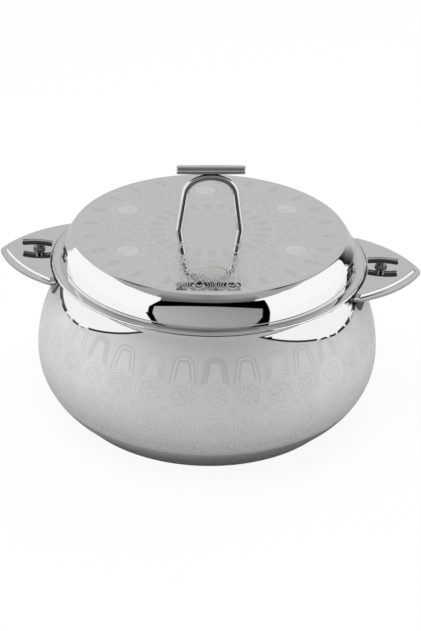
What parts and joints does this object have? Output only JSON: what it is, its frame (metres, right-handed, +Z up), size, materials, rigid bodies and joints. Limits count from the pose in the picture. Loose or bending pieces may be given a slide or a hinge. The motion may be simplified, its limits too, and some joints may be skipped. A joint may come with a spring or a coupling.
{
  "type": "insulated serving pot",
  "caption": "Double-walled steel serving pot with a bulging body, lift-off domed lid, hoop with cross bar, wing handles and turn latches.",
  "frame": {"origin": "centre of the base, on the surface the pot stands on", "axes": "+Z up along the pot's axis, +X through the pivot of the right-hand latch, along the two handles"},
  "size_m": [0.365, 0.3, 0.2214],
  "materials": {
    "shell_steel": "polished",
    "lid_steel": "polished",
    "base_steel": "polished",
    "bowl_steel": "satin",
    "plate_steel": "polished",
    "rod_steel": "polished",
    "plain_steel": "satin",
    "silicone": "satin",
    "foam": "matte",
    "plug_plastic": "matte"
  },
  "bodies": {
    "pot_body": {"outer_shell": "shell_steel", "inner_bowl": "bowl_steel", "base_cap": "base_steel", "filling_plug": "plug_plastic", "body_insulation": "foam", "left_handle_plate": "plate_steel", "left_handle_underplate": "plate_steel", "left_handle_bracket": "plain_steel", "left_handle_rivets": "plain_steel", "left_pivot_bush": "plain_steel", "right_handle_plate": "plate_steel", "right_handle_underplate": "plate_steel", "right_handle_bracket": "plain_steel", "right_handle_rivets": "plain_steel", "right_pivot_bush": "plain_steel"},
    "lid": {"lid_shell": "lid_steel", "lid_liner": "bowl_steel", "lid_seal": "silicone", "lid_insulation": "foam", "lid_hoop": "rod_steel", "lid_grip_bar": "rod_steel", "hoop_backing_plate": "plain_steel", "hoop_washers": "plain_steel", "hoop_screws": "plain_steel"},
    "left_latch": {"left_latch_bar": "rod_steel", "left_latch_boss": "rod_steel", "left_latch_spring_washer": "plain_steel", "left_latch_washer": "plain_steel", "left_latch_screw": "plain_steel"},
    "right_latch": {"right_latch_bar": "rod_steel", "right_latch_boss": "rod_steel", "right_latch_spring_washer": "plain_steel", "right_latch_washer": "plain_steel", "right_latch_screw": "plain_steel"}
  },
  "joints": [
    {"name": "lid_lift", "type": "slide", "parent": "pot_body", "child": "lid", "axis": [0, 0, 1], "range_m": [0, 0.1]},
    {"name": "left_latch_turn", "type": "hinge", "parent": "pot_body", "child": "left_latch", "pos_m": [-0.1485, 0, 0.1412], "axis": [0, 0, 1], "range_deg": [-90, 90]},
    {"name": "right_latch_turn", "type": "hinge", "parent": "pot_body", "child": "right_latch", "pos_m": [0.1485, 0, 0.1412], "axis": [0, 0, 1], "range_deg": [-90, 90]}
  ]
}
